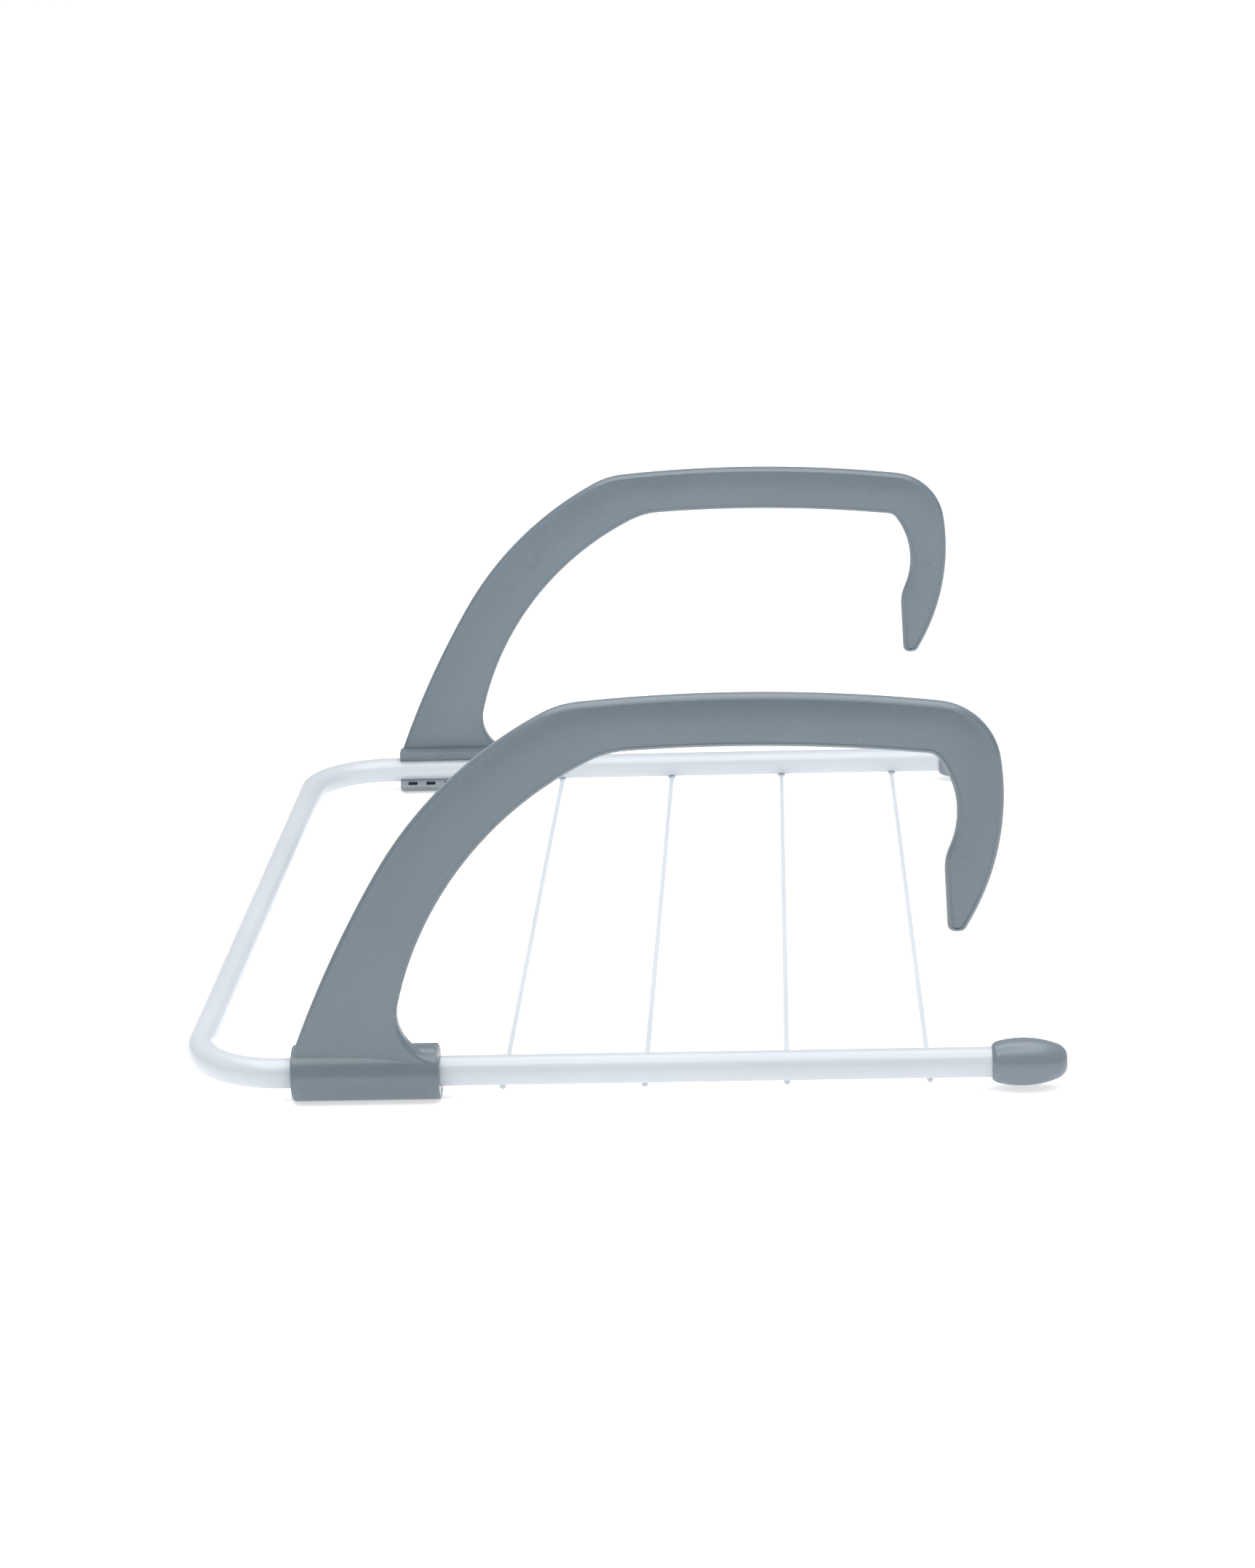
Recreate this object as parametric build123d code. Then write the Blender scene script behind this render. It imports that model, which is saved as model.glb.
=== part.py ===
from build123d import *

import math
import os

# Hook-over folding drying rack, in millimetres.
# +X runs from the front bar towards the wall, +Y to the right, +Z up.
# The origin is under the middle of the rack, level with the lowest point of the clips.

# ---- driving dimensions: frame -------------------------------------------------
LEG_SPACING = 480.0      # between the axes of the two legs
OVERALL_DEPTH = 379.0    # outside of the front bar to the end of the caps
TUBE_OD = 13.0
TUBE_WALL = 0.8
BEND_RADIUS = 40.0       # centreline radius of the two frame corners

# ---- driving dimensions: cross wires -------------------------------------------
WIRE_COUNT = 4
WIRE_D = 2.7
WIRE_OVERHANG = 1.0      # wire end beyond the leg's axis
WELD_SINK = 0.3          # how far the spot weld sets the wire into the tube
WIRE_MARGIN = 26.0       # first wire to the clip, and last wire to the cap

# ---- driving dimensions: barrel end caps ---------------------------------------
CAP_LENGTH = 31.5
CAP_SOCKET_DEPTH = 22.0
CAP_LIP_WALL = 0.65      # wall at the mouth
CAP_RIM_WALL = 2.25      # wall where the rounded mouth meets the barrel
CAP_RIM_AT = 2.2         # that place, from the mouth
CAP_BELLY_WALL = 3.6     # wall at the fattest point
CAP_BELLY_AT = 13.3      # fattest point, from the mouth
CAP_SHOULDER_WALL = 0.9  # wall where the barrel meets the domed end
CAP_SHOULDER_AT = 27.6   # that place, from the mouth
CAP_FLAT_D = 8.0         # flat on the end, which rests on the wall
PUSH_CLEARANCE = 0.05    # radial, cap socket on tube

# ---- driving dimensions: clips -------------------------------------------------
CLIP_LENGTH = 63.0
CLIP_WALL = 5.45
CLIP_TO_BEND = 5.0       # straight leg left between the bend and the clip
TURN_CLEARANCE = 0.05    # radial, clip bore on tube
MOUTH_LOW = -40.0        # mouth edges, degrees from the inward direction
MOUTH_HIGH = 60.0
CLIP_EDGE = 0.8          # rounding of the clip's end faces
CLIP_TOP_ROUND = 5.5     # rounding of the clip's top down to its wire-side end
CLIP_TOP_RISE = 0.3      # how far that rounding would stand above the clip
POCKET_COUNT = 6         # moulding pockets along the lower jaw
POCKET_MARGIN = 6.8
POCKET_LENGTH = 5.0
POCKET_HEIGHT = 2.2
POCKET_DEPTH = 3.0

# ---- driving dimensions: hook arms ---------------------------------------------
ARM_THICKNESS = 9.0
ARM_FACE_OFFSET = 0.5    # inner face of the arm, outward from the leg's axis
ARM_EDGE = 2.2           # rounding all round the arm
HEEL_CLEARANCE = 0.1     # foot of the arm, behind the rounding of the clip's front end
HOOK_REACH = 300.0       # back of the hook, from the front end of the clip
HOOK_HEIGHT = 164.2      # top of the hook, above the leg's axis
BAR_DEPTH = 22.4         # height of the hook's top bar at its middle
HOOK_DROP = 104.0        # top of the hook down to its tip
SHIN_BEND_R = 511.0      # outside of the arm above the clip
TOP_BEND_R = 716.0       # top of the hook
BACK_BEND_R = 110.6      # back of the hook
THROAT_BEND_R = 39.0     # inside of the hook, over the rail
UNDER_BEND_R = 761.5     # underside of the top bar
INNER_BEND_R = 158.8     # inside of the arm, above the clip

# ---- derived -------------------------------------------------------------------
TUBE_R = TUBE_OD / 2
CLIP_BORE_R = TUBE_R + TURN_CLEARANCE
CLIP_R = CLIP_BORE_R + CLIP_WALL
HEEL_SET_BACK = CLIP_EDGE + HEEL_CLEARANCE
CAP_BORE_R = TUBE_R + PUSH_CLEARANCE
AXIS_Z = CLIP_R                                   # height of the legs' axes
BAR_X = TUBE_R - OVERALL_DEPTH / 2                # axis of the front bar
CAP_END_X = OVERALL_DEPTH / 2
CAP_MOUTH_X = CAP_END_X - CAP_LENGTH
LEG_END_X = CAP_MOUTH_X + CAP_SOCKET_DEPTH
CLIP_X = BAR_X + BEND_RADIUS + CLIP_TO_BEND       # front end of the clips
LEG_Y = LEG_SPACING / 2
WIRE_FIRST_X = CLIP_X + CLIP_LENGTH + WIRE_MARGIN
WIRE_LAST_X = CAP_MOUTH_X - WIRE_MARGIN
WIRE_PITCH = (WIRE_LAST_X - WIRE_FIRST_X) / (WIRE_COUNT - 1)
WIRE_Z = AXIS_Z - TUBE_R - WIRE_D / 2 + WELD_SINK
POCKET_PITCH = (CLIP_LENGTH - 2 * POCKET_MARGIN) / (POCKET_COUNT - 1)


def tube_frame():
    """One hollow tube bent into a U: leg, corner, front bar, corner, leg."""
    corners = [
        (LEG_END_X, -LEG_Y, AXIS_Z),
        (BAR_X, -LEG_Y, AXIS_Z),
        (BAR_X, LEG_Y, AXIS_Z),
        (LEG_END_X, LEG_Y, AXIS_Z),
    ]
    with BuildPart() as frame:
        with BuildLine() as route:
            FilletPolyline(*corners, radius=BEND_RADIUS)
        start = Plane(origin=corners[0], z_dir=(-1, 0, 0))
        with BuildSketch(start):
            Circle(TUBE_R)
            Circle(TUBE_R - TUBE_WALL, mode=Mode.SUBTRACT)
        sweep(path=route.wire())
    return frame.part


def cross_wire(x):
    """A straight round wire under both legs, with domed ends."""
    dome_y = LEG_Y + WIRE_OVERHANG - WIRE_D / 2
    wire = Cylinder(WIRE_D / 2, 2 * dome_y, rotation=(90, 0, 0))
    for y in (-dome_y, dome_y):
        wire += Pos(0, y, 0) * Sphere(WIRE_D / 2)
    return Pos(x, 0, WIRE_Z) * wire


def end_cap(y):
    """A barrel-shaped push-on cap with a blind socket and a small flat on its end."""
    mouth = (CAP_MOUTH_X, CAP_BORE_R + CAP_LIP_WALL)
    rim = (CAP_MOUTH_X + CAP_RIM_AT, CAP_BORE_R + CAP_RIM_WALL)
    belly = (CAP_MOUTH_X + CAP_BELLY_AT, CAP_BORE_R + CAP_BELLY_WALL)
    shoulder = (CAP_MOUTH_X + CAP_SHOULDER_AT, CAP_BORE_R + CAP_SHOULDER_WALL)
    flat = (CAP_END_X, CAP_FLAT_D / 2)
    with BuildPart() as cap:
        with BuildSketch(Plane.XY):
            with BuildLine():
                barrel = ThreePointArc(rim, belly, shoulder)
                TangentArc(barrel @ 0, mouth, tangent=(barrel % 0) * -1)
                TangentArc(barrel @ 1, flat, tangent=barrel % 1)
                Line(flat, (flat[0], 0))
                Line((flat[0], 0), (mouth[0], 0))
                Line((mouth[0], 0), mouth)
            make_face()
        revolve(axis=Axis.X)
        with BuildSketch(Plane(origin=(mouth[0], 0, 0), z_dir=(1, 0, 0))):
            Circle(CAP_BORE_R)
        extrude(amount=CAP_SOCKET_DEPTH, mode=Mode.SUBTRACT)
    return cap.part.moved(Location((0, y, AXIS_Z)))


def arm_outline():
    """Side view of the arm as (x, z): x from the clip's front end, z from the leg's axis.

    Drawn with sharp corners, which arm_slab rounds. Returns the line and each corner's radius.
    """
    top = HOOK_HEIGHT
    under = HOOK_HEIGHT - BAR_DEPTH
    tip = HOOK_HEIGHT - HOOK_DROP
    back = HOOK_REACH
    foot = (HEEL_SET_BACK, 0)
    heel = (HEEL_SET_BACK, 11.0)
    shin = (39.4, 89.3)
    shoulder = (119.0, top - 3.4)
    nape = (back - 5.5, top - 7.9)
    tip_back = (back - 15.7, tip)
    tip_front = (back - 22.5, tip)
    lug = (back - 23.8, tip + 31.9)
    throat_back = (back - 27.4, under - 4.8)
    throat_front = (138.5, under - 1.5)
    knee = (46.6, 31.9)
    crotch = (CLIP_LENGTH - 2.5, 8.4)
    toe = (CLIP_LENGTH - 0.6, 7.0)
    toe_foot = (CLIP_LENGTH - 0.6, 0)
    with BuildLine() as line:
        Line(foot, heel)
        front = RadiusArc(heel, shin, SHIN_BEND_R)
        TangentArc(front @ 1, shoulder, tangent=front % 1)
        RadiusArc(shoulder, nape, TOP_BEND_R)
        RadiusArc(nape, tip_back, BACK_BEND_R)
        Line(tip_back, tip_front)
        Line(tip_front, lug)
        RadiusArc(lug, throat_back, -THROAT_BEND_R)
        RadiusArc(throat_back, throat_front, -UNDER_BEND_R)
        inner = RadiusArc(throat_front, knee, -INNER_BEND_R)
        TangentArc(inner @ 1, crotch, tangent=inner % 1)
        Line(crotch, toe)
        Line(toe, toe_foot)
        Line(toe_foot, foot)
    corners = {
        shoulder: 42.0,
        nape: 28.9,
        tip_back: 3.2,
        tip_front: 3.2,
        lug: 20.0,
        throat_back: 6.0,
        throat_front: 40.0,
    }
    return line, corners


def arm_slab():
    """The flat hook, lying in the XZ plane, its inner face at ARM_FACE_OFFSET."""
    outline, corners = arm_outline()
    plane = Plane(origin=(0, -ARM_FACE_OFFSET, 0), x_dir=(1, 0, 0), z_dir=(0, -1, 0))
    with BuildPart() as slab:
        with BuildSketch(plane) as side:
            add(outline)
            make_face()
            for (x, z), radius in corners.items():
                fillet(side.vertices().sort_by_distance(Vector(x, z, 0))[0], radius=radius)
        extrude(amount=ARM_THICKNESS)
        rim = slab.edges().filter_by(Axis.Y, reverse=True)
        fillet(rim.filter_by(lambda edge: edge.center().Z > 0.1), radius=ARM_EDGE)
    return slab.part


def clip_ring():
    """The closed sleeve that the mouth is cut from, along X from the clip's front end."""
    with BuildPart() as ring:
        with BuildSketch(Plane.YZ):
            Circle(CLIP_R)
        extrude(amount=CLIP_LENGTH)
        fillet(ring.edges(), radius=CLIP_EDGE)
    return ring.part - clip_top_trim()


def clip_top_trim():
    """What is cut off the sleeve's top to round it down to the wire-side end."""
    middle = Pos(CLIP_LENGTH - CLIP_TOP_ROUND, 0, CLIP_R + CLIP_TOP_RISE - CLIP_TOP_ROUND)
    above = Align.MIN, Align.CENTER, Align.MIN
    block = Box(CLIP_TOP_ROUND + 1, 2 * CLIP_R + 2, CLIP_TOP_ROUND + 1, align=above)
    round_bar = Cylinder(CLIP_TOP_ROUND, 2 * CLIP_R + 4, rotation=(90, 0, 0))
    return middle * (block - round_bar)


def clip_mouth():
    """The wedge of space that opens the clip towards the other arm."""
    reach = CLIP_R * 2
    low = math.radians(MOUTH_LOW)
    high = math.radians(MOUTH_HIGH)
    with BuildPart() as wedge:
        with BuildSketch(Plane.YZ.offset(-1)):
            Polygon(
                (0, 0),
                (reach * math.cos(low), reach * math.sin(low)),
                (reach, reach * math.sin(high) / 2),
                (reach * math.cos(high), reach * math.sin(high)),
                align=None,
            )
        extrude(amount=CLIP_LENGTH + 2)
    return wedge.part


def jaw_pockets():
    """Small rectangular moulding pockets in the end face of the lower jaw."""
    middle = (CLIP_BORE_R + CLIP_R) / 2
    pockets = Part()
    for i in range(POCKET_COUNT):
        x = POCKET_MARGIN + i * POCKET_PITCH
        place = Pos(x, 0, 0) * Rot(MOUTH_LOW, 0, 0) * Pos(0, middle, 0)
        pockets += place * Box(POCKET_LENGTH, POCKET_HEIGHT, POCKET_DEPTH * 2)
    return pockets


def hook_arm_left():
    """The arm on the -Y leg: clip and hook moulded in one, mouth facing +Y."""
    arm = arm_slab() + clip_ring()
    with BuildPart() as bore:
        with BuildSketch(Plane.YZ.offset(-1)):
            Circle(CLIP_BORE_R)
        extrude(amount=CLIP_LENGTH + 2)
    arm = arm - bore.part - clip_mouth() - jaw_pockets()
    return arm.moved(Location((CLIP_X, -LEG_Y, AXIS_Z)))


def save(part, node):
    """Write one node's solid."""
    part.label = node
    export_step(part, f"parts/{node}.step")
    print(node, "volume", round(part.volume), "valid", part.is_valid)


os.makedirs("parts", exist_ok=True)

left_arm = hook_arm_left()
save(tube_frame(), "tube_frame")
for number in range(WIRE_COUNT):
    save(cross_wire(WIRE_FIRST_X + number * WIRE_PITCH), f"wire_{number + 1}")
save(left_arm, "hook_arm_left")
save(mirror(left_arm, about=Plane.XZ), "hook_arm_right")
save(end_cap(-LEG_Y), "end_cap_left")
save(end_cap(LEG_Y), "end_cap_right")
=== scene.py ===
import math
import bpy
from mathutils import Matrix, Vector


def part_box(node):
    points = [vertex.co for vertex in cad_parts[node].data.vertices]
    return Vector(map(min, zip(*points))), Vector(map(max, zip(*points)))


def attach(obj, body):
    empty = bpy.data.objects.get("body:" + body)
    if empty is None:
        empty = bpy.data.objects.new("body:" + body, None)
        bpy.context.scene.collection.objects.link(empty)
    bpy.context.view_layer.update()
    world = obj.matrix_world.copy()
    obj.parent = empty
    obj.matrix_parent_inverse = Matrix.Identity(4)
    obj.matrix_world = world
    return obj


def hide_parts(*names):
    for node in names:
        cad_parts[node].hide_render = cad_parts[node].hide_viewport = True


bl_info = {
    "name": "Hook-over Folding Drying Rack",
    "version": (1, 0, 0),
    "blender": (4, 5, 0),
    "location": "View3D > Sidebar > Drying Rack",
    "description": "Builds the painted frame, the moulded hooks and the end caps of a drying rack",
    "category": "Add Mesh",
}

import bmesh
import bpy
from bpy.props import FloatProperty, FloatVectorProperty, IntProperty, PointerProperty
from mathutils import Euler, Matrix, Vector
from mathutils.geometry import intersect_sphere_sphere_2d

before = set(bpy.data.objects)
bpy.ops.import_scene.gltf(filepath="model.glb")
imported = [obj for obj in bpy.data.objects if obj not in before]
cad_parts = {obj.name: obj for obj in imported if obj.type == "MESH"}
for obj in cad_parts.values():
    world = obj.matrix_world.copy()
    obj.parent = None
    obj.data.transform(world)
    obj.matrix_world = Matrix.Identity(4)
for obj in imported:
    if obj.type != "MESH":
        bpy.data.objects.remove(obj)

# Lengths in the code are millimetres; MM turns them into Blender's metres.
MM = 0.001
X_AXIS = Vector((1, 0, 0))
Y_AXIS = Vector((0, 1, 0))
Z_AXIS = Vector((0, 0, 1))

# Where the fixed frame stands: axes of the tube's legs and of its front bar.
TUBE_LOW, TUBE_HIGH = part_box("tube_frame")
TUBE_RADIUS = (TUBE_HIGH.z - TUBE_LOW.z) / 2
AXIS_Z = (TUBE_HIGH.z + TUBE_LOW.z) / 2
LEG_Y = TUBE_HIGH.y - TUBE_RADIUS
BAR_X = TUBE_LOW.x + TUBE_RADIUS
CLIP_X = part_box("hook_arm_left")[0].x
WIRE_NODES = sorted(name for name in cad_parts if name.startswith("wire_"))

# The hook's outline: a radius, in millimetres, that stands for a straight side.
STRAIGHT = 6000.0

# Heights above the leg's axis between which the blade changes into its foot, and the
# distances from the clip's front end between which the foot's outer face swells out.
FOOT_TOP = 34 * MM
FOOT_BOTTOM = 9 * MM
SWELL_START = 22 * MM
SWELL_END = 62 * MM
FULL_CROWN_WIDTH = 14.0 * MM  # a narrower blade is crowned less

# The pocket in the lower lip's end, and the round ejector marks on the arm's inner face.
END_POCKET_PLACE = Vector((0, 2.2, -9.3)) * MM
END_POCKET_SIZE = Vector((5.0, 3.6, 1.5)) * MM
END_POCKET_TURN = math.radians(-14)
EJECTOR_MARKS = ((75.4, 116.6, 4.6), (290.8, 113.7, 4.4), (40.8, 48.9, 1.1))  # x, z, radius
EJECTOR_DEPTH = 0.36 * MM  # half of it lies outside the face

CAMERA_LENS = 83.056
CAMERA_PLACE = (0.07206, -1.68062, 0.54395)
CAMERA_TURN = (74.2286, 1.7493, 2.0509)  # degrees


# ---- settings -------------------------------------------------------------------


def length(name, description, default, unit="LENGTH"):
    """A length setting, given in millimetres and kept in metres."""
    return FloatProperty(
        name=name, description=description, default=default * MM, min=0.0, unit=unit, precision=5
    )


def angle(name, description, degrees):
    """An angle setting, given in degrees and kept in radians."""
    return FloatProperty(
        name=name, description=description, default=math.radians(degrees), subtype="ANGLE"
    )


def factor(name, description, default, high=1.0):
    """A plain number from zero up."""
    return FloatProperty(name=name, description=description, default=default, min=0.0, max=high)


def colour(name, description, red, green, blue):
    """A linear colour setting."""
    return FloatVectorProperty(
        name=name,
        description=description,
        default=(red, green, blue),
        size=3,
        min=0.0,
        max=1.0,
        subtype="COLOR",
    )


class RackMetalSettings(bpy.types.PropertyGroup):
    """Sizes and paint of the tube and the wires."""

    bend_radius: length("Bend Radius", "Centreline radius of the two frame corners", 40.0)
    tube_wall: length("Tube Wall", "Thickness of the tube's wall", 0.8)
    weld_length: length("Weld Length", "Length of the weld bead along the wire", 3.4)
    weld_width: length("Weld Width", "Width of the weld bead along the leg", 2.0)
    weld_height: length("Weld Height", "Height of the weld bead", 1.0)
    frame_paint: colour("Frame Paint", "Powder coat on the tube", 0.48, 0.515, 0.56)
    wire_paint: colour("Wire Paint", "Powder coat on the wires", 0.54, 0.58, 0.62)
    gloss_roughness: factor("Gloss Roughness", "Roughness of the powder coat", 0.34)


class RackHookSettings(bpy.types.PropertyGroup):
    """Sizes and plastic of the two hook arms."""

    thickness: length("Thickness", "Thickness of the arm at its middle", 9.0)
    crown: length("Crown", "How much thinner each face is at its edge", 1.1)
    inner_face: length("Inner Face", "Inner face of the arm, outward from the leg's axis", 0.5)
    edge: length("Edge", "Rounding all round the arm", 2.2)
    clip_length: length("Clip Length", "Length of the clip along the leg", 63.0)
    clip_radius: length("Clip Radius", "Outer radius of the clip", 12.0)
    clip_bore: length("Clip Bore", "Inner radius of the clip", 6.55)
    clip_edge: length("Clip Edge", "Rounding of the clip's ends", 0.8)
    mouth_low: angle("Mouth Low", "Lower lip of the clip, from the inward direction", -40.0)
    mouth_high: angle("Mouth High", "Upper lip of the clip, from the inward direction", 60.0)
    pocket_count: IntProperty(
        name="Pockets", description="Moulding pockets along the lower lip", default=6, min=2
    )
    pocket_margin: length("Pocket Margin", "First pocket from the clip's end", 6.8)
    pocket_length: length("Pocket Length", "Length of a pocket along the clip", 5.0)
    pocket_height: length("Pocket Height", "Height of a pocket", 2.2)
    pocket_depth: length("Pocket Depth", "Depth of a pocket", 3.0)
    top_round: length("Top Round", "Rounding of the clip's top down to its end", 5.5)
    top_rise: length("Top Rise", "How far that rounding would stand above the clip", 0.3)
    foot_waist: length("Foot Waist", "How much the outer face draws in above the clip", 2.0)
    foot_swell: length("Foot Swell", "How much it comes out again towards the toe", 2.4)
    plastic: colour("Hook Plastic", "Moulded plastic of the arms", 0.116, 0.150, 0.177)
    roughness: factor("Roughness", "Roughness of the moulded plastic", 0.27)


class RackCapSettings(bpy.types.PropertyGroup):
    """Sizes and plastic of the two end caps."""

    bore: length("Bore", "Inner radius of the cap", 6.55)
    socket_depth: length("Socket Depth", "How far the tube goes in", 22.0)
    rim_radius: length("Rim Radius", "Radius where the rounded mouth meets the barrel", 8.8)
    belly_radius: length("Belly Radius", "Radius at the fattest point", 10.15)
    shoulder_radius: length("Shoulder Radius", "Radius where the barrel meets the dome", 7.45)
    flat_radius: length("Flat Radius", "Radius of the flat on the end", 4.0)
    plastic: colour("Cap Plastic", "Moulded plastic of the caps", 0.140, 0.172, 0.201)


class RackStageSettings(bpy.types.PropertyGroup):
    """Floor, light and camera."""

    floor_size: FloatProperty(
        name="Floor Size", description="Width of the light table", default=60.0, unit="LENGTH"
    )
    floor_colour: colour("Floor", "Colour of the light table", 0.85, 0.85, 0.85)
    floor_glow: factor("Floor Glow", "Light that comes up through the light table", 0.52, 10.0)
    sky_front: factor("Front Light", "Light from the viewer's side", 0.55, 10.0)
    sky_back: factor("Back Light", "Light from behind", 0.60, 10.0)
    softbox_power: FloatProperty(
        name="Softbox Power", description="Light from the overhead softbox", default=21.0, unit="POWER"
    )
    softbox_size: length("Softbox Size", "Width of the overhead softbox", 1500.0)
    softbox_height: length("Softbox Height", "Height of the softbox above the floor", 1150.0)
    softbox_shift: length("Softbox Shift", "How far it hangs towards the viewer", 250.0)


# ---- mesh tools -----------------------------------------------------------------


def flat_point(x, z):
    """A point of a side view, in millimetres."""
    return Vector((x, z)) * MM


def circle_between(start, end, radius):
    """Centre of the arc from start to end, on the right of travel, or left if radius is negative."""
    chord = end - start
    right = Vector((chord.y, -chord.x)).normalized()
    height = math.sqrt((radius * MM) ** 2 - chord.length_squared / 4)
    return (start + end) / 2 + right * math.copysign(height, radius)


def circle_onward(start, centre, end):
    """Centre of the arc that leaves start in line with the arc around centre and reaches end."""
    normal = (centre - start).normalized()
    span = end - start
    return start + normal * span.length_squared / (2 * normal.dot(span))


def rounding(before, corner, after, centre_in, centre_out, radius):
    """Centre, start and end of the small arc that rounds the corner between two arcs."""
    radius_in = (corner - centre_in).length
    radius_out = (corner - centre_out).length
    for side_in in (-radius, radius):
        for side_out in (-radius, radius):
            found = intersect_sphere_sphere_2d(
                centre_in, radius_in + side_in * MM, centre_out, radius_out + side_out * MM
            )
            for middle in filter(None, found):
                start = centre_in + (middle - centre_in).normalized() * radius_in
                end = centre_out + (middle - centre_out).normalized() * radius_out
                shortens_in = (start - before).length < (corner - before).length
                shortens_out = (end - after).length < (corner - after).length
                near = (middle - corner).length < 3 * radius * MM
                if shortens_in and shortens_out and near:
                    return middle, start, end
    raise ValueError(f"no rounding of {radius} mm fits at {corner}")


class Rail:
    """A chain of edges in the XZ plane, drawn by extruding and spinning its last vertex."""

    def __init__(self, bm, start):
        self.bm = bm
        self.last = bm.verts.new((start.x, 0, start.y))
        self.verts = [self.last]

    def line_to(self, point, steps=1):
        start = Vector((self.last.co.x, self.last.co.z))
        for _ in range(steps):
            made = bmesh.ops.extrude_vert_indiv(self.bm, verts=[self.last])["verts"]
            shift = (point - start) / steps
            bmesh.ops.translate(self.bm, verts=made, vec=(shift.x, 0, shift.y))
            self.last = made[0]
            self.verts.append(self.last)

    def arc_to(self, point, centre, steps):
        start = Vector((self.last.co.x, self.last.co.z)) - centre
        end = point - centre
        turn = math.atan2(end.x, end.y) - math.atan2(start.x, start.y)
        turn = (turn + math.pi) % (2 * math.pi) - math.pi
        for _ in range(steps):
            made = bmesh.ops.spin(
                self.bm,
                geom=[self.last],
                cent=(centre.x, 0, centre.y),
                axis=Y_AXIS,
                angle=turn / steps,
                steps=1,
            )["geom_last"]
            self.last = [item for item in made if isinstance(item, bmesh.types.BMVert)][0]
            self.verts.append(self.last)

    def round_to(self, before, corner, after, centre_in, centre_out, radius, steps):
        """Follows the arc around centre_in, then rounds the corner; steps is (arc, rounding)."""
        middle, start, end = rounding(before, corner, after, centre_in, centre_out, radius)
        self.arc_to(start, centre_in, steps[0])
        self.arc_to(end, middle, steps[1])


def new_object(bm, name, sharp_angle=math.radians(32)):
    """Turns a bmesh into a smooth-shaded object, with its sharp edges marked."""
    bm.normal_update()
    for face in bm.faces:
        face.smooth = True
    for edge in bm.edges:
        edge.smooth = len(edge.link_faces) == 2 and edge.calc_face_angle(0.0) < sharp_angle
    mesh = bpy.data.meshes.new(name)
    bm.to_mesh(mesh)
    bm.free()
    made = bpy.data.objects.new(name, mesh)
    bpy.context.scene.collection.objects.link(made)
    return made


def tidy(bm, merge=0.002 * MM):
    """Merges doubled vertices and turns every face outwards."""
    bmesh.ops.remove_doubles(bm, verts=bm.verts, dist=merge)
    bmesh.ops.recalc_face_normals(bm, faces=bm.faces)


def combine(base, other, operation):
    """Applies a union or a difference with another object, which is used up."""
    modifier = base.modifiers.new(operation.title(), "BOOLEAN")
    modifier.operation = operation
    modifier.object = other
    modifier.solver = "EXACT"
    bpy.context.view_layer.update()
    evaluated = base.evaluated_get(bpy.context.evaluated_depsgraph_get())
    before, result = base.data, bpy.data.meshes.new_from_object(evaluated)
    base.modifiers.clear()
    base.data = result
    result.name = before.name
    bpy.data.meshes.remove(before)
    bpy.data.meshes.remove(other.data)


def hand_over(piece, body, slot, *nodes):
    """Fixes a finished piece to its body and hides the nodes it stands for; slot is not used."""
    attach(piece, body)
    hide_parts(*nodes)


# ---- materials ------------------------------------------------------------------


class Shader:
    """A new material with a Principled surface and short ways to add nodes to it."""

    def __init__(self, name):
        self.material = bpy.data.materials.new(name)
        self.material.use_nodes = True
        self.tree = self.material.node_tree
        self.surface = self.tree.nodes["Principled BSDF"]
        self.place = self.add("ShaderNodeTexCoord").outputs["Object"]

    def add(self, kind, inputs=None, **attributes):
        node = self.tree.nodes.new(kind)
        for name, value in attributes.items():
            setattr(node, name, value)
        for name, value in (inputs or {}).items():
            if isinstance(value, bpy.types.NodeSocket):
                self.tree.links.new(value, node.inputs[name])
            else:
                node.inputs[name].default_value = value
        return node

    def noise(self, scale, detail=2.0, stretch=(1, 1, 1), roughness=0.5):
        """Noise on Object coordinates; scale is in features per metre."""
        place = self.place
        if tuple(stretch) != (1, 1, 1):
            place = self.add("ShaderNodeMapping", {"Vector": place, "Scale": stretch}).outputs[0]
        inputs = {"Vector": place, "Scale": scale, "Detail": detail, "Roughness": roughness}
        return self.add("ShaderNodeTexNoise", inputs).outputs["Fac"]

    def spread(self, value, low, high, start=0.3, end=0.7):
        """Maps start to end of a value onto low to high."""
        inputs = {"Value": value, "From Min": start, "From Max": end, "To Min": low, "To Max": high}
        return self.add("ShaderNodeMapRange", inputs).outputs["Result"]

    def blend(self, amount, first, second, kind="MIX"):
        """Mixes two colours."""
        node = self.add("ShaderNodeMix", data_type="RGBA", blend_type=kind)
        for index, value in ((0, amount), (6, first), (7, second)):
            if isinstance(value, bpy.types.NodeSocket):
                self.tree.links.new(value, node.inputs[index])
            elif index:
                node.inputs[index].default_value = (*value, 1.0)
            else:
                node.inputs[index].default_value = value
        return node.outputs[2]

    def bump(self, height, distance, strength, onto=None):
        """Adds relief of that depth, on top of any relief before it."""
        inputs = {"Height": height, "Distance": distance * MM, "Strength": strength}
        if onto is not None:
            inputs["Normal"] = onto
        return self.add("ShaderNodeBump", inputs).outputs["Normal"]

    def finish(self, base, roughness, normal, **constants):
        """Connects the colour, the roughness and the relief, and sets the constant sockets."""
        sockets = {"Base Color": base, "Roughness": roughness, "Normal": normal}
        for name, value in sockets.items():
            self.tree.links.new(value, self.surface.inputs[name])
        self.surface.inputs["Emission Color"].default_value = (1.0, 1.0, 1.0, 1.0)
        for name, value in constants.items():
            self.surface.inputs[name.replace("_", " ")].default_value = value
        return self.material


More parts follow.
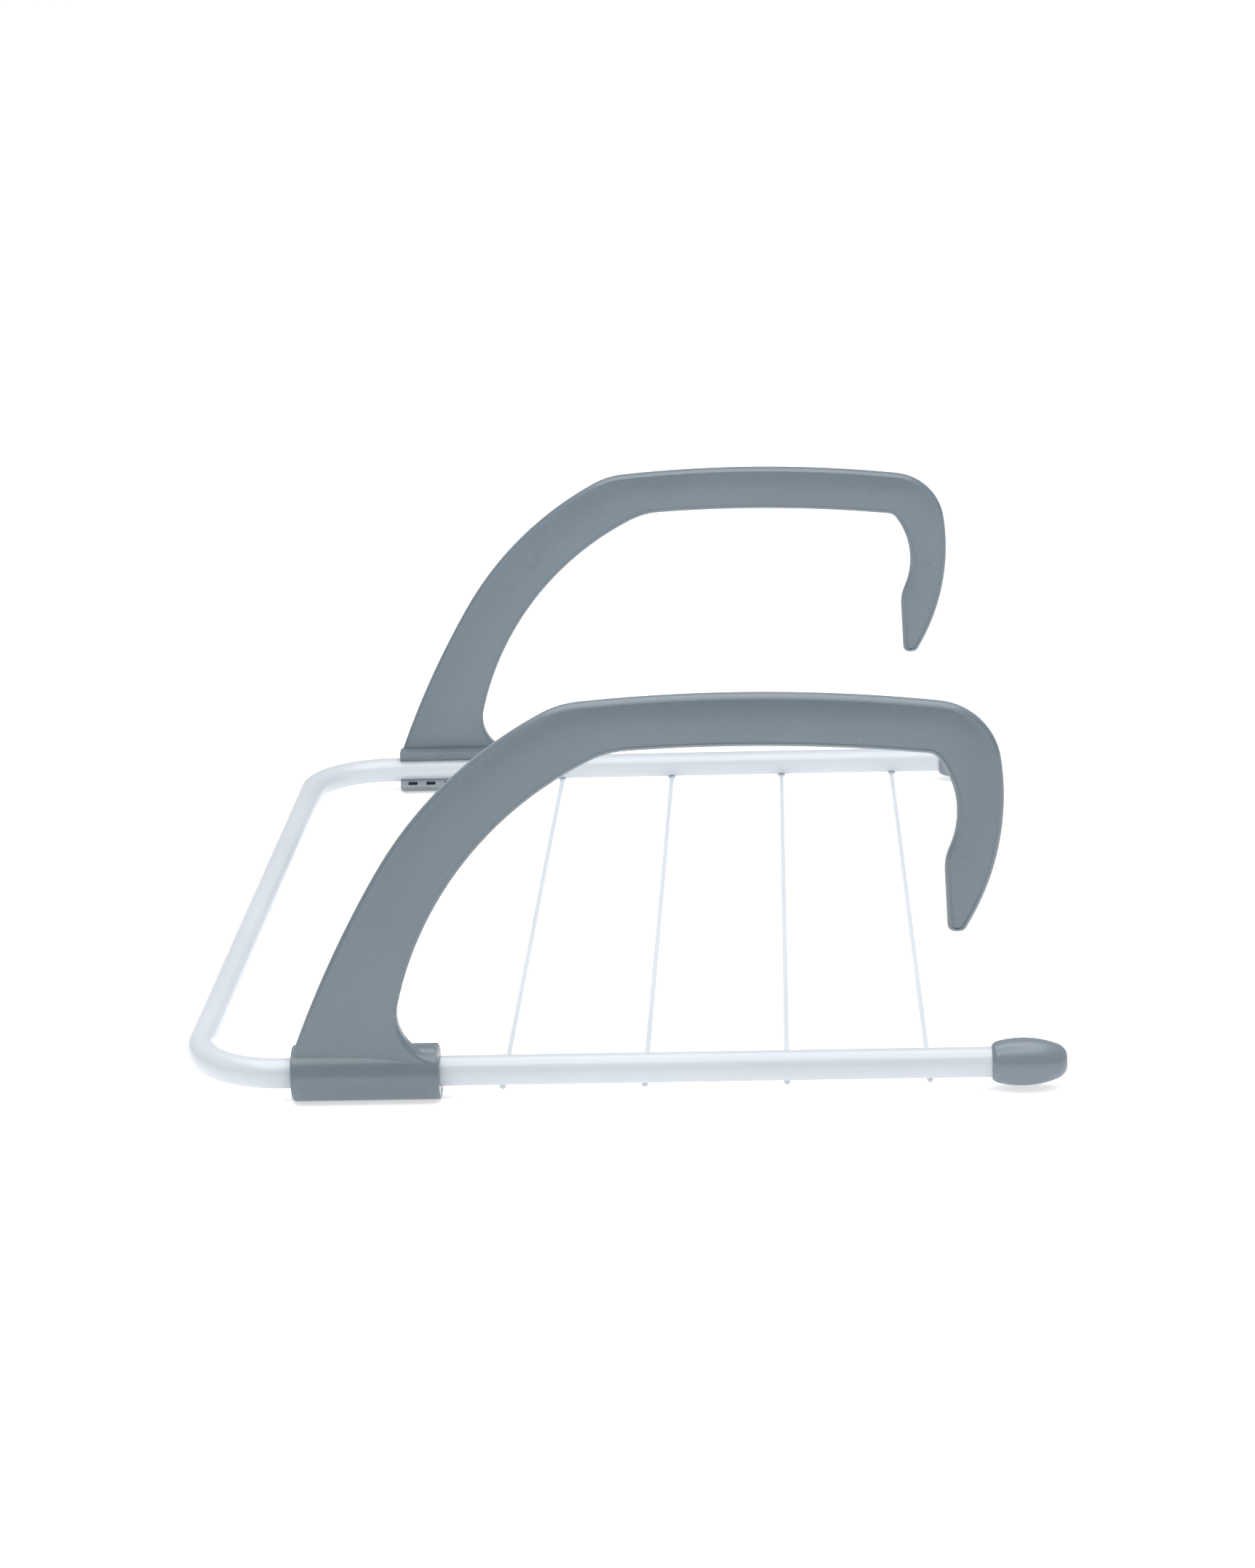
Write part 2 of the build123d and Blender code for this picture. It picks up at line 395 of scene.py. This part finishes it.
def scaled(rgb, amount):
    """A colour made lighter or darker."""
    return tuple(min(1.0, channel * amount) for channel in rgb)


def powder_coat(name, rgb, roughness):
    """Glossy white powder coat: orange peel, faint clouding, a few dull rub marks."""
    shader = Shader(name)
    clouds = shader.spread(shader.noise(14, 3), 0.0, 1.0)
    base = shader.blend(clouds, scaled(rgb, 0.975), scaled(rgb, 1.02))
    dust = shader.spread(shader.noise(420, 6, roughness=0.7), 0.0, 0.5, 0.66, 0.78)
    base = shader.blend(dust, base, scaled(rgb, 0.90))
    rubbed = shader.spread(shader.noise(60, 6, stretch=(0.2, 0.2, 1)), -0.05, 0.10)
    gloss = shader.add("ShaderNodeMath", {0: rubbed, 1: roughness}, operation="ADD").outputs[0]
    peel = shader.bump(shader.noise(520, 1), 0.05, 0.35)
    fine = shader.bump(shader.noise(3600, 2), 0.01, 0.25, peel)
    return shader.finish(
        base, gloss, fine, Coat_Weight=0.35, Coat_Roughness=0.12, Specular_IOR_Level=0.5
    )


def moulded_plastic(name, rgb, roughness, flow):
    """Satin moulded plastic: fine grain, flow marks along the part, rare pale specks."""
    shader = Shader(name)
    clouds = shader.spread(shader.noise(22, 4), 0.0, 1.0)
    base = shader.blend(clouds, scaled(rgb, 0.955), scaled(rgb, 1.045))
    streaks = shader.spread(shader.noise(90, 5, stretch=flow), 0.0, 0.6, 0.35, 0.75)
    base = shader.blend(streaks, base, scaled(rgb, 1.03))
    grey = shader.spread(shader.noise(1100, 3), 0.94, 1.04, 0.25, 0.75)
    base = shader.blend(1.0, base, grey, kind="MULTIPLY")
    specks = shader.spread(shader.noise(420, 2, roughness=0.4), 0.0, 0.35, 0.75, 0.80)
    base = shader.blend(specks, base, scaled(rgb, 1.7))
    rubbed = shader.spread(shader.noise(130, 5, stretch=flow), -0.02, 0.04)
    satin = shader.add("ShaderNodeMath", {0: rubbed, 1: roughness}, operation="ADD").outputs[0]
    waves = shader.bump(shader.noise(55, 1), 0.06, 0.10)
    grain = shader.bump(shader.noise(4200, 3, roughness=0.6), 0.02, 0.30, waves)
    return shader.finish(base, satin, grain, Specular_IOR_Level=0.55, IOR=1.5)


# ---- tube frame and wires -------------------------------------------------------


def run_on(bm, edges, step, cuts=6):
    """Extrudes an open ring of edges straight on and returns its new end."""
    for _ in range(cuts):
        made = bmesh.ops.extrude_edge_only(bm, edges=edges)["geom"]
        ends = [item for item in made if isinstance(item, bmesh.types.BMVert)]
        bmesh.ops.translate(bm, verts=ends, vec=step / cuts)
        inside = set(ends)
        edges = [edge for edge in bm.edges if set(edge.verts) <= inside]
    return edges


def bend_on(bm, edges, centre, turn, steps=28):
    """Spins an open ring of edges round a corner and returns its new end."""
    made = bmesh.ops.spin(bm, geom=edges, cent=centre, axis=Z_AXIS, angle=turn, steps=steps)
    return [item for item in made["geom_last"] if isinstance(item, bmesh.types.BMEdge)]


def build_tube(settings):
    """One hollow tube bent into a U: leg, corner, front bar, corner, leg."""
    bend = settings.bend_radius
    bm = bmesh.new()
    stand = Matrix.Translation((TUBE_HIGH.x, -LEG_Y, AXIS_Z)) @ Matrix.Rotation(math.pi / 2, 4, "Y")
    bmesh.ops.create_circle(bm, segments=56, radius=TUBE_RADIUS, matrix=stand)
    leg = Vector((BAR_X + bend - TUBE_HIGH.x, 0, 0))
    bar = Vector((0, 2 * (LEG_Y - bend), 0))
    edges = run_on(bm, list(bm.edges), leg)
    edges = bend_on(bm, edges, (BAR_X + bend, -LEG_Y + bend, AXIS_Z), -math.pi / 2)
    edges = run_on(bm, edges, bar)
    edges = bend_on(bm, edges, (BAR_X + bend, LEG_Y - bend, AXIS_Z), -math.pi / 2)
    run_on(bm, edges, -leg)
    tidy(bm)
    # On an open tube the recalculated side is not certain, so it is turned outwards by a test face.
    outer = max(bm.faces, key=lambda face: face.calc_center_median().z)
    if outer.normal.z < 0:
        bmesh.ops.reverse_faces(bm, faces=bm.faces)
    bmesh.ops.solidify(bm, geom=list(bm.faces), thickness=settings.tube_wall)
    return new_object(bm, "tube_frame_painted")


def capsule(bm, middle, radius, half_length):
    """A round wire along Y with domed ends, spun from one drawn edge."""
    start = len(bm.verts)
    foot = bm.verts.new(middle + Vector((0, -half_length, 0)))
    bm.verts.ensure_lookup_table()
    dome = bmesh.ops.spin(
        bm,
        geom=[foot],
        cent=middle + Vector((0, radius - half_length, 0)),
        axis=X_AXIS,
        angle=-math.pi / 2,
        steps=7,
    )["geom_last"]
    rim = [item for item in dome if isinstance(item, bmesh.types.BMVert)]
    for _ in range(24):
        rim = bmesh.ops.extrude_vert_indiv(bm, verts=rim)["verts"]
        bmesh.ops.translate(bm, verts=rim, vec=(0, (half_length - radius) / 12, 0))
    bmesh.ops.spin(
        bm,
        geom=rim,
        cent=middle + Vector((0, half_length - radius, 0)),
        axis=X_AXIS,
        angle=-math.pi / 2,
        steps=7,
    )
    bm.verts.ensure_lookup_table()
    drawn = bm.verts[start:]
    chain = list({edge for vert in drawn for edge in vert.link_edges})
    bmesh.ops.spin(
        bm,
        geom=drawn + chain,
        cent=middle,
        axis=Y_AXIS,
        angle=2 * math.pi,
        steps=20,
        use_merge=True,
    )


def weld_bead(bm, place, settings):
    """A small smooth bead that joins a wire to the leg above it, with paint run into it."""
    stretch = Vector((settings.weld_width, settings.weld_length, settings.weld_height))
    spot = Matrix.Translation(place) @ Matrix.Diagonal((*stretch, 1.0))
    bmesh.ops.create_icosphere(bm, subdivisions=3, radius=1.0, matrix=spot)


def build_wire(node, settings):
    """One cross wire with a weld bead under each leg."""
    low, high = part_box(node)
    middle = (low + high) / 2
    radius = (high.z - low.z) / 2
    bm = bmesh.new()
    capsule(bm, middle, radius, (high.y - low.y) / 2)
    for side in (-1, 1):
        touch = Vector((middle.x, side * (LEG_Y - settings.weld_width), AXIS_Z - TUBE_RADIUS))
        weld_bead(bm, touch, settings)
    tidy(bm)
    return new_object(bm, f"{node}_painted")


# ---- hook arms ------------------------------------------------------------------


def outer_rail(bm):
    """The outside of the hook, from the clip over the top to the tip."""
    heel, shin = flat_point(0.9, 11.0), flat_point(39.4, 89.3)
    shoulder, nape = flat_point(119.0, 160.8), flat_point(294.5, 156.3)
    tip_back, tip_front = flat_point(284.3, 60.2), flat_point(277.5, 60.2)
    front = circle_between(heel, shin, 511.0)
    brow = circle_onward(shin, front, shoulder)
    top = circle_between(shoulder, nape, 716.0)
    back = circle_between(nape, tip_back, 110.6)
    tip = circle_between(tip_back, tip_front, STRAIGHT)
    rail = Rail(bm, flat_point(0.9, 0.0))
    rail.line_to(flat_point(0.9, 7.0))
    rail.line_to(heel)
    rail.arc_to(shin, front, 18)
    rail.round_to(shin, shoulder, nape, brow, top, 42.0, (20, 6))
    rail.round_to(shoulder, nape, tip_back, top, back, 28.9, (20, 14))
    rail.round_to(nape, tip_back, tip_front, back, tip, 3.2, (20, 5))
    return rail


def inner_rail(bm):
    """The inside of the hook, from the clip under the top bar to the tip."""
    crotch, knee = flat_point(60.5, 8.4), flat_point(46.6, 31.9)
    throat_front, throat_back = flat_point(138.5, 140.3), flat_point(272.6, 137.0)
    lug = flat_point(276.2, 92.1)
    tip_front, tip_back = flat_point(277.5, 60.2), flat_point(284.3, 60.2)
    inner = circle_between(knee, throat_front, 158.8)
    ankle = circle_onward(knee, inner, crotch)
    under = circle_between(throat_front, throat_back, 761.5)
    throat = circle_between(throat_back, lug, 39.0)
    chin = circle_between(lug, tip_front, STRAIGHT)
    tip = circle_between(tip_front, tip_back, STRAIGHT)
    rail = Rail(bm, flat_point(62.4, 0.0))
    rail.line_to(flat_point(62.4, 7.0))
    rail.line_to(crotch)
    rail.arc_to(knee, ankle, 12)
    rail.round_to(knee, throat_front, throat_back, inner, under, 40.0, (26, 6))
    rail.round_to(throat_front, throat_back, lug, under, throat, 6.0, (20, 14))
    rail.round_to(throat_back, lug, tip_front, throat, chin, 20.0, (12, 3))
    rail.round_to(lug, tip_front, tip_back, chin, tip, 3.2, (5, 5))
    return rail


def eased(start, end, value):
    """Rises smoothly from 0 at start to 1 at end."""
    share = min(1.0, max(0.0, (value - start) / (end - start)))
    return share * share * (3 - 2 * share)


def build_blade(settings):
    """The flat hook lying in the XZ plane, with rounded edges and slightly crowned faces."""
    bm = bmesh.new()
    across = bm.verts.layers.float.new("across")
    width = bm.verts.layers.float.new("width")
    outer = outer_rail(bm)
    inner = inner_rail(bm)
    for start, end in zip(outer.verts, inner.verts):
        gap = (start.co - end.co).length
        start[across], end[across] = 0.0, 1.0
        start[width] = end[width] = gap
    bmesh.ops.bridge_loops(bm, edges=list(bm.edges))
    rim_half = settings.thickness / 2 - settings.crown
    sheet = bmesh.ops.extrude_face_region(bm, geom=list(bm.faces))["geom"]
    lifted = [item for item in sheet if isinstance(item, bmesh.types.BMVert)]
    bmesh.ops.translate(bm, verts=lifted, vec=(0, -2 * rim_half, 0))
    bmesh.ops.translate(bm, verts=bm.verts, vec=(0, -settings.inner_face - settings.crown, 0))
    bmesh.ops.recalc_face_normals(bm, faces=bm.faces)
    bm.normal_update()
    rim = [
        edge
        for edge in bm.edges
        if edge.calc_face_angle(0.0) > 1.2 and max(v.co.z for v in edge.verts) > 0.5 * MM
        and abs(edge.verts[0].co.y - edge.verts[1].co.y) < 0.1 * MM
    ]
    bmesh.ops.bevel(
        bm,
        geom=rim,
        offset=settings.edge,
        offset_type="OFFSET",
        affect="EDGES",
        segments=6,
        profile=0.5,
        material=-1,
        clamp_overlap=False,
    )
    bm.normal_update()
    faces = {face for face in bm.faces if abs(face.normal.y) > 0.9999}
    crossing = [edge for edge in bm.edges if len(faces.intersection(edge.link_faces)) == 2]
    for vert in {vert for edge in crossing for vert in edge.verts}:
        vert[across] = 0.0 if vert[across] < 0.5 else 1.0
    bmesh.ops.subdivide_edges(bm, edges=crossing, cuts=9, use_grid_fill=True)
    middle = -settings.inner_face - settings.thickness / 2
    for vert in bm.verts:
        arch = 4 * vert[across] * (1 - vert[across]) * min(1.0, vert[width] / FULL_CROWN_WIDTH)
        arch = min(1.0, max(0.0, arch))
        foot = eased(FOOT_TOP, FOOT_BOTTOM, vert.co.z)
        lift = settings.crown * (arch + (1 - arch) * foot)
        offset = min(1.0, max(-1.0, (vert.co.y - middle) / rim_half))
        if offset < 0:
            toe = eased(SWELL_START, SWELL_END, vert.co.x)
            lift += foot * (settings.foot_swell * toe - settings.foot_waist)
        vert.co.y = middle + offset * (rim_half + lift)
    cut_parting_line(bm, middle)
    tidy(bm)
    return new_object(bm, "blade")


def cut_parting_line(bm, middle, half_width=0.3 * MM, depth=0.16 * MM):
    """A fine groove all round the arm's edge, where the two halves of the mould meet."""
    for offset in (-half_width, 0.0, half_width):
        geometry = list(bm.verts) + list(bm.edges) + list(bm.faces)
        place = Vector((0, middle + offset, 0))
        bmesh.ops.bisect_plane(bm, geom=geometry, dist=0.001 * MM, plane_co=place, plane_no=Y_AXIS)
    bm.normal_update()
    line = [vert for vert in bm.verts if abs(vert.co.y - middle) < 0.01 * MM]
    sunk = {vert: vert.co - vert.normal * depth for vert in line}
    for vert, place in sunk.items():
        vert.co = place


def build_sleeve(settings):
    """The clip's outer body, a solid bar along X with rounded ends."""
    bm = bmesh.new()
    lie = Matrix.Translation((settings.clip_length / 2, 0, 0)) @ Matrix.Rotation(math.pi / 2, 4, "Y")
    bmesh.ops.create_cone(
        bm,
        cap_ends=True,
        segments=96,
        radius1=settings.clip_radius,
        radius2=settings.clip_radius,
        depth=settings.clip_length,
        matrix=lie,
    )
    bm.normal_update()
    ends = [edge for edge in bm.edges if edge.calc_face_angle(0.0) > 1.0]
    bmesh.ops.bevel(
        bm,
        geom=ends,
        offset=settings.clip_edge,
        offset_type="OFFSET",
        affect="EDGES",
        segments=4,
        profile=0.5,
        material=-1,
    )
    return new_object(bm, "sleeve")


def build_end_trim(settings):
    """What is cut off the sleeve so that its top rounds down to the hook's crotch."""
    radius = settings.top_round
    length_, top = settings.clip_length, settings.clip_radius + settings.top_rise
    bm = bmesh.new()
    rail = Rail(bm, Vector((length_ - radius, top)))
    rail.arc_to(Vector((length_, top - radius)), Vector((length_ - radius, top - radius)), 14)
    rail.line_to(Vector((length_ + radius, top - radius)))
    rail.line_to(Vector((length_ + radius, top + radius)))
    rail.line_to(Vector((length_ - radius, top + radius)))
    bm.edges.new((rail.last, rail.verts[0]))
    face = bmesh.ops.contextual_create(bm, geom=list(bm.edges))["faces"]
    made = bmesh.ops.extrude_face_region(bm, geom=face)["geom"]
    verts = [item for item in made if isinstance(item, bmesh.types.BMVert)]
    bmesh.ops.translate(bm, verts=verts, vec=(0, 3 * top, 0))
    bmesh.ops.translate(bm, verts=bm.verts, vec=(0, -1.5 * top, 0))
    bmesh.ops.recalc_face_normals(bm, faces=bm.faces)
    return new_object(bm, "end_trim")


def build_keyhole(settings):
    """The space of the bore and the mouth, cut out of the clip in one go."""
    reach = settings.clip_radius * 2
    low, high = settings.mouth_low, settings.mouth_high
    bm = bmesh.new()

    def spoke(radius, at):
        return Vector((-MM, radius * math.cos(at), radius * math.sin(at)))

    start = bm.verts.new(spoke(settings.clip_bore, high))
    bore = bmesh.ops.spin(
        bm,
        geom=[start],
        cent=(-MM, 0, 0),
        axis=X_AXIS,
        angle=2 * math.pi - (high - low),
        steps=72,
    )["geom_last"]
    end = [item for item in bore if isinstance(item, bmesh.types.BMVert)][0]
    corners = [spoke(reach, low), spoke(reach * 1.1, (low + high) / 2), spoke(reach, high)]
    last = end
    for corner in corners:
        vert = bm.verts.new(corner)
        bm.edges.new((last, vert))
        last = vert
    bm.edges.new((last, start))
    face = bmesh.ops.contextual_create(bm, geom=list(bm.edges))["faces"]
    made = bmesh.ops.extrude_face_region(bm, geom=face)["geom"]
    verts = [item for item in made if isinstance(item, bmesh.types.BMVert)]
    bmesh.ops.translate(bm, verts=verts, vec=(settings.clip_length + 2 * MM, 0, 0))
    bmesh.ops.recalc_face_normals(bm, faces=bm.faces)
    return new_object(bm, "keyhole")


def build_recesses(settings):
    """Moulding pockets in the lower lip and its end, and the round ejector marks inside."""
    bm = bmesh.new()
    middle = (settings.clip_bore + settings.clip_radius) / 2
    lip = Matrix.Rotation(settings.mouth_low, 4, "X") @ Matrix.Translation((0, middle, 0))
    pitch = (settings.clip_length - 2 * settings.pocket_margin) / (settings.pocket_count - 1)
    for index in range(settings.pocket_count):
        along = Matrix.Translation((settings.pocket_margin + index * pitch, 0, 0))
        size = Matrix.Diagonal(
            (settings.pocket_length, settings.pocket_height, 2 * settings.pocket_depth, 1.0)
        )
        bmesh.ops.create_cube(bm, size=1.0, matrix=along @ lip @ size)
    end = Matrix.Translation(END_POCKET_PLACE + settings.clip_length * X_AXIS)
    size = Matrix.Rotation(END_POCKET_TURN, 4, "X") @ Matrix.Diagonal((*END_POCKET_SIZE, 1.0))
    bmesh.ops.create_cube(bm, size=1.0, matrix=end @ size)
    face = -settings.inner_face
    for x, z, radius in EJECTOR_MARKS:
        turn = Matrix.Rotation(math.pi / 2, 4, "X")
        place = Matrix.Translation((x * MM, face, z * MM))
        bmesh.ops.create_cone(
            bm,
            cap_ends=True,
            segments=40,
            radius1=radius * MM,
            radius2=radius * MM,
            depth=EJECTOR_DEPTH,
            matrix=place @ turn,
        )
    return new_object(bm, "recesses")


def build_arm(settings):
    """One arm in place on the left leg: blade and clip in one, with the leg's bore cut out."""
    arm = build_blade(settings)
    sleeve = build_sleeve(settings)
    combine(sleeve, build_end_trim(settings), "DIFFERENCE")
    combine(arm, sleeve, "UNION")
    combine(arm, build_keyhole(settings), "DIFFERENCE")
    combine(arm, build_recesses(settings), "DIFFERENCE")
    arm.data.transform(Matrix.Translation((CLIP_X, -LEG_Y, AXIS_Z)))
    return arm


def finish_arm(arm, name, mirrored):
    """A finished copy of the arm, mirrored to the other leg where asked."""
    bm = bmesh.new()
    bm.from_mesh(arm.data)
    if mirrored:
        bmesh.ops.scale(bm, verts=bm.verts, vec=(1, -1, 1))
    tidy(bm)
    bmesh.ops.dissolve_degenerate(bm, edges=bm.edges, dist=0.001 * MM)
    piece = new_object(bm, name)
    bevel = piece.modifiers.new("Broken Edges", "BEVEL")
    bevel.width = 0.25 * MM
    bevel.segments = 2
    bevel.limit_method = "ANGLE"
    bevel.angle_limit = math.radians(40)
    bevel.use_clamp_overlap = True
    weigh = piece.modifiers.new("Even Shading", "WEIGHTED_NORMAL")
    weigh.keep_sharp = True
    return piece


# ---- end caps -------------------------------------------------------------------


def build_cap(node, settings):
    """A barrel-shaped cap turned from one profile: socket, rounded mouth, barrel and dome."""
    low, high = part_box(node)
    axis = Vector(((low.x + high.x) / 2, (low.y + high.y) / 2, (low.z + high.z) / 2))
    start = low.x / MM
    finish = high.x / MM

    def spot(x, radius):
        return flat_point(start + x, axis.z / MM + radius)

    bore = settings.bore / MM
    rim = spot(2.2, settings.rim_radius / MM)
    belly = settings.belly_radius / MM
    shoulder = spot(27.6, settings.shoulder_radius / MM)
    mouth = spot(0.0, bore + 0.65)
    flat = spot(finish - start, settings.flat_radius / MM)
    barrel = three_point_centre(rim, spot(13.3, belly), shoulder)
    lip = circle_onward(rim, barrel, mouth)
    dome = circle_onward(shoulder, barrel, flat)
    bm = bmesh.new()
    rail = Rail(bm, spot(settings.socket_depth / MM, 0.0))
    rail.line_to(spot(settings.socket_depth / MM, bore), 2)
    rail.line_to(spot(0.4, bore), 4)
    rail.line_to(spot(0.12, bore + 0.1))
    rail.line_to(spot(0.0, bore + 0.3))
    rail.line_to(mouth)
    rail.arc_to(rim, lip, 8)
    rail.arc_to(shoulder, barrel, 30)
    rail.arc_to(flat, dome, 10)
    rail.line_to(spot(finish - start - 0.05, 2.4))
    rail.line_to(spot(finish - start - 0.35, 1.9))
    rail.line_to(spot(finish - start - 0.35, 0.0), 2)
    for vert in bm.verts:
        vert.co.y = axis.y
    raise_parting_ring(rail, start + 15.0, axis)
    bmesh.ops.spin(
        bm,
        geom=list(bm.verts) + list(bm.edges),
        cent=axis,
        axis=X_AXIS,
        angle=2 * math.pi,
        steps=72,
        use_merge=True,
    )
    tidy(bm)
    return new_object(bm, f"{node}_moulded", math.radians(40))


def three_point_centre(first, second, third):
    """Centre of the circle through three points."""
    a, b = second - first, third - first
    cross = 2 * (a.x * b.y - a.y * b.x)
    shift = Vector((b.y * a.length_squared - a.y * b.length_squared,
                    a.x * b.length_squared - b.x * a.length_squared))
    return first + shift / cross


def raise_parting_ring(rail, along, axis):
    """Lifts the profile's nearest outside vertex a little, as the ring where the mould closes."""
    outside = [v for v in rail.verts if v.co.z - axis.z > 8.9 * MM]
    nearest = min(outside, key=lambda vert: abs(vert.co.x / MM - along))
    nearest.co.z += 0.05 * MM


# ---- operators ------------------------------------------------------------------


class RACK_OT_tube_frame(bpy.types.Operator):
    """Build the bent tube frame with its powder coat"""

    bl_idname = "rack.tube_frame"
    bl_label = "Tube Frame"

    def execute(self, context):
        settings = context.scene.rack_metal
        piece = build_tube(settings)
        paint = powder_coat("frame_powder_coat", settings.frame_paint, settings.gloss_roughness)
        piece.data.materials.append(paint)
        hand_over(piece, "frame", "frame_paint", "tube_frame")
        return {"FINISHED"}


class RACK_OT_cross_wires(bpy.types.Operator):
    """Build the four cross wires and their weld beads"""

    bl_idname = "rack.cross_wires"
    bl_label = "Cross Wires"

    def execute(self, context):
        settings = context.scene.rack_metal
        paint = powder_coat("wire_powder_coat", settings.wire_paint, settings.gloss_roughness)
        for node in WIRE_NODES:
            piece = build_wire(node, settings)
            piece.data.materials.append(paint)
            hand_over(piece, "frame", "wire_paint", node)
        return {"FINISHED"}


class RACK_OT_hook_arms(bpy.types.Operator):
    """Build the two moulded hook arms with their clips"""

    bl_idname = "rack.hook_arms"
    bl_label = "Hook Arms"

    def execute(self, context):
        settings = context.scene.rack_hook
        plastic = moulded_plastic(
            "hook_plastic_satin", settings.plastic, settings.roughness, (0.25, 1.0, 1.0)
        )
        pattern = build_arm(settings)
        for side, mirrored in (("left", False), ("right", True)):
            piece = finish_arm(pattern, f"hook_arm_{side}_moulded", mirrored)
            piece.data.materials.clear()
            piece.data.materials.append(plastic)
            hand_over(piece, f"{side}_arm", "hook_plastic", f"hook_arm_{side}")
        bpy.data.meshes.remove(pattern.data)
        return {"FINISHED"}


class RACK_OT_end_caps(bpy.types.Operator):
    """Build the two barrel-shaped end caps"""

    bl_idname = "rack.end_caps"
    bl_label = "End Caps"

    def execute(self, context):
        settings = context.scene.rack_cap
        roughness = context.scene.rack_hook.roughness
        plastic = moulded_plastic("cap_plastic_satin", settings.plastic, roughness, (1, 0.3, 0.3))
        for side in ("left", "right"):
            piece = build_cap(f"end_cap_{side}", settings)
            piece.data.materials.append(plastic)
            hand_over(piece, "frame", "cap_plastic", f"end_cap_{side}")
        return {"FINISHED"}


def build_floor(settings):
    """A plain pale light table under the rack."""
    bm = bmesh.new()
    bmesh.ops.create_grid(bm, x_segments=4, y_segments=4, size=settings.floor_size / 2)
    floor = new_object(bm, "floor")
    shader = Shader("floor_paper")
    fibre = shader.spread(shader.noise(900, 4), 0.0, 1.0)
    tone = shader.blend(fibre, scaled(settings.floor_colour, 0.998), settings.floor_colour)
    roughness = shader.spread(fibre, 0.85, 0.9, 0.0, 1.0)
    relief = shader.bump(fibre, 0.02, 0.05)
    material = shader.finish(
        tone, roughness, relief, Specular_IOR_Level=0.1, Emission_Strength=settings.floor_glow
    )
    floor.data.materials.append(material)


def build_sky(settings):
    """Even studio light that is weaker from the viewer's side."""
    world = bpy.data.worlds.new("studio")
    world.use_nodes = True
    bpy.context.scene.world = world
    tree = world.node_tree
    background = tree.nodes["Background"]
    place = tree.nodes.new("ShaderNodeTexCoord")
    split = tree.nodes.new("ShaderNodeSeparateXYZ")
    ramp = tree.nodes.new("ShaderNodeMapRange")
    ramp.interpolation_type = "SMOOTHSTEP"
    for name, value in (("From Min", -0.9), ("From Max", 0.5)):
        ramp.inputs[name].default_value = value
    ramp.inputs["To Min"].default_value = settings.sky_front
    ramp.inputs["To Max"].default_value = settings.sky_back
    tree.links.new(place.outputs["Generated"], split.inputs["Vector"])
    tree.links.new(split.outputs["Y"], ramp.inputs["Value"])
    tree.links.new(ramp.outputs["Result"], background.inputs["Strength"])
    background.inputs["Color"].default_value = (1.0, 1.0, 1.0, 1.0)


def build_softbox(settings):
    """One broad light above the rack, a little towards the viewer."""
    light = bpy.data.lights.new("softbox", "AREA")
    light.shape = "SQUARE"
    light.energy = settings.softbox_power
    light.size = settings.softbox_size
    softbox = bpy.data.objects.new("softbox", light)
    softbox.location = (0.0, -settings.softbox_shift, settings.softbox_height)
    bpy.context.scene.collection.objects.link(softbox)


def build_camera():
    """A long-lens camera in front of the left arm, a little above the rack."""
    data = bpy.data.cameras.new("camera")
    data.lens = CAMERA_LENS
    data.clip_end = 200.0
    camera = bpy.data.objects.new("camera", data)
    camera.location = CAMERA_PLACE
    camera.rotation_euler = Euler([math.radians(turn) for turn in CAMERA_TURN])
    bpy.context.scene.collection.objects.link(camera)
    bpy.context.scene.camera = camera


class RACK_OT_stage(bpy.types.Operator):
    """Build the floor, the light and the camera"""

    bl_idname = "rack.stage"
    bl_label = "Stage"

    def execute(self, context):
        settings = context.scene.rack_stage
        build_floor(settings)
        build_sky(settings)
        build_softbox(settings)
        build_camera()
        context.scene.view_settings.view_transform = "Standard"
        context.scene.view_settings.look = "None"
        return {"FINISHED"}


class VIEW3D_PT_drying_rack(bpy.types.Panel):
    """Sidebar panel with the rack's settings and build steps"""

    bl_label = "Drying Rack"
    bl_space_type = "VIEW_3D"
    bl_region_type = "UI"
    bl_category = "Drying Rack"

    def draw(self, context):
        scene = context.scene
        rows = (
            (scene.rack_metal, ("rack.tube_frame", "rack.cross_wires")),
            (scene.rack_hook, ("rack.hook_arms",)),
            (scene.rack_cap, ("rack.end_caps",)),
            (scene.rack_stage, ("rack.stage",)),
        )
        for settings, steps in rows:
            box = self.layout.box()
            for name in settings.__annotations__:
                box.prop(settings, name)
            for step in steps:
                box.operator(step)


SETTINGS = {
    "rack_metal": RackMetalSettings,
    "rack_hook": RackHookSettings,
    "rack_cap": RackCapSettings,
    "rack_stage": RackStageSettings,
}
OPERATORS = (
    RACK_OT_tube_frame,
    RACK_OT_cross_wires,
    RACK_OT_hook_arms,
    RACK_OT_end_caps,
    RACK_OT_stage,
)


def register():
    for name, group in SETTINGS.items():
        bpy.utils.register_class(group)
        setattr(bpy.types.Scene, name, PointerProperty(type=group))
    for operator in OPERATORS:
        bpy.utils.register_class(operator)
    bpy.utils.register_class(VIEW3D_PT_drying_rack)


def unregister():
    bpy.utils.unregister_class(VIEW3D_PT_drying_rack)
    for operator in reversed(OPERATORS):
        bpy.utils.unregister_class(operator)
    for name, group in SETTINGS.items():
        delattr(bpy.types.Scene, name)
        bpy.utils.unregister_class(group)


def main():
    """Builds the rack and its stage."""
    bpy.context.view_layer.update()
    register()
    bpy.ops.rack.tube_frame()
    bpy.ops.rack.cross_wires()
    bpy.ops.rack.hook_arms()
    bpy.ops.rack.end_caps()
    bpy.ops.rack.stage()


if __name__ == "__main__":
    main()
